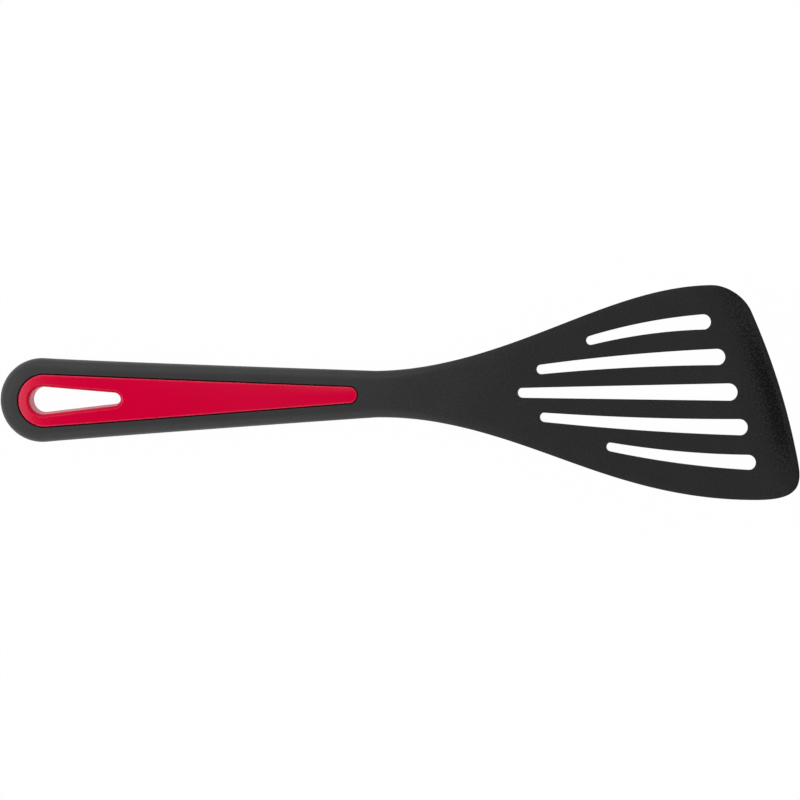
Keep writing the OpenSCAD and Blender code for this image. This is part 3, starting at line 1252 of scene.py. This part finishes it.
@dataclass
class Studio:
    """The white floor, the lamps and the camera of the photograph."""

    target: tuple[float, float, float] = (0.13515, -0.00238, 0.005)
    distance: float = 1.3
    tilt: float = math.radians(3.0)
    roll: float = math.radians(0.98)
    focal_px: float = 3415.66
    frame_px: float = 800.0
    sensor_mm: float = 36.0
    far_clip: float = 20.0
    room: float = 0.57
    overhead: float = 0.004
    overhead_from: float = 16.0
    overhead_to: float = 6.0
    overhead_lean: Span = (-5.2, -6.5)
    horizon: float = 0.3
    room_lean: float = 0.42
    floor_half: float = 6.0
    floor_drop: float = 0.0002
    floor_colour: Colour = (0.9, 0.9, 0.9, 1.0)
    floor_glow: float = 0.985
    white: Colour = (1.0, 1.0, 1.0, 1.0)
    lamps: tuple[SoftBox, ...] = (
        SoftBox("left", (-1.0, 0.0), 44.0, (1.2, 1.3), 1.3),
        SoftBox("far", (0.0, 1.0), 66.0, (1.8, 1.1), 1.35),
        SoftBox("near", (0.0, -1.0), 66.0, (1.8, 1.1), 1.1),
    )

    def build(self) -> None:
        """Set the stage, the light and the camera."""
        self._floor()
        self._world()
        for lamp in self.lamps:
            lamp.build()
        self._camera()
        bpy.context.scene.view_settings.view_transform = "Standard"

    def _floor(self) -> None:
        """Lay a white floor that keeps a faint shadow of the turner."""
        bm = bmesh.new()
        bmesh.ops.create_grid(bm, x_segments=1, y_segments=1, size=self.floor_half)
        bmesh.ops.translate(bm, verts=bm.verts, vec=(0.0, 0.0, -self.floor_drop))
        mesh = bpy.data.meshes.new("floor")
        bm.to_mesh(mesh)
        bm.free()
        floor = bpy.data.objects.new("floor", mesh)
        bpy.context.scene.collection.objects.link(floor)
        mesh.materials.append(self._floor_white())

    def _floor_white(self) -> bpy.types.Material:
        """Make the floor's white, which mostly glows for the camera and for reflections.

        Returns:
            The material.
        """
        g = Finish("floor_white")
        g.give("Base Color", self.floor_colour)
        g.give("Roughness", 1.0)
        g.give("Specular IOR Level", 0.0)
        glow = g.add("ShaderNodeEmission", {"Color": self.white, "Strength": 1.0})
        path = g.add("ShaderNodeLightPath").outputs
        seen = g.sum("MAXIMUM", path["Is Camera Ray"], path["Is Glossy Ray"])
        seen = g.sum("MAXIMUM", seen, path["Is Transmission Ray"])
        share = g.sum("MULTIPLY", seen, self.floor_glow)
        surfaces = {0: share, 1: g.shader.outputs[0], 2: glow.outputs[0]}
        blend = g.add("ShaderNodeMixShader", surfaces)
        g.join(blend.outputs[0], g.tree.nodes["Material Output"].inputs["Surface"])
        return g.material

    def _world(self) -> None:
        """Light the room like a white tent, darker overhead and towards the blade's front."""
        world = bpy.data.worlds.new("studio")
        world.use_nodes = True
        g = Graph(world.node_tree)
        place = g.add("ShaderNodeTexCoord").outputs["Generated"]
        towards = g.split(place)
        x, y = (math.tan(math.radians(turn)) for turn in self.overhead_lean)
        centre = Vector((x, y, 1.0)).normalized()
        near = g.vector_sum("DOT_PRODUCT", place, centre).outputs["Value"]
        low, high = (math.cos(math.radians(t)) for t in (self.overhead_from, self.overhead_to))
        height = g.step(near, low, high, self.room, self.overhead)
        low_down = g.sum("MULTIPLY_ADD", towards["Z"], -self.horizon, 1.0 + self.horizon)
        side = g.sum("MULTIPLY_ADD", towards["X"], -self.room_lean, 1.0)
        background = g.tree.nodes["Background"].inputs
        strength = g.sum("MULTIPLY", g.sum("MULTIPLY", height, low_down), side)
        g.join(strength, background["Strength"])
        g.join(self.white, background["Color"])
        bpy.context.scene.world = world

    def _camera(self) -> None:
        """Place the camera of the photograph."""
        back = Vector((0, math.sin(self.tilt), math.cos(self.tilt)))
        right = Vector((1, 0, 0))
        up = back.cross(right)
        turned_right = right * math.cos(self.roll) - up * math.sin(self.roll)
        turned_up = right * math.sin(self.roll) + up * math.cos(self.roll)
        pose = Matrix((turned_right, turned_up, back)).transposed().to_4x4()
        pose.translation = Vector(self.target) + back * self.distance
        data = bpy.data.cameras.new("photo_camera")
        data.sensor_width = self.sensor_mm
        data.sensor_fit = "HORIZONTAL"
        data.lens = self.sensor_mm * self.focal_px / self.frame_px
        data.clip_end = self.far_clip
        camera = bpy.data.objects.new("photo_camera", data)
        camera.matrix_world = pose
        bpy.context.scene.collection.objects.link(camera)
        bpy.context.scene.camera = camera


def main() -> None:
    """Build the turner, its light and its camera."""
    logging.basicConfig(level=logging.INFO, format="%(message)s")
    plan, slots, seat, spine = TurnerPlan(), SlotRow(), HandleSeat(), Spine()
    moulding = Moulding(plan, slots, seat, spine).build()
    moulding.data.materials.append(Nylon(plan).build())
    insert = HandleInsert(plan, seat, spine).build()
    insert.data.materials.append(InsertPlastic().build())
    Studio().build()


if __name__ == "__main__":
    main()
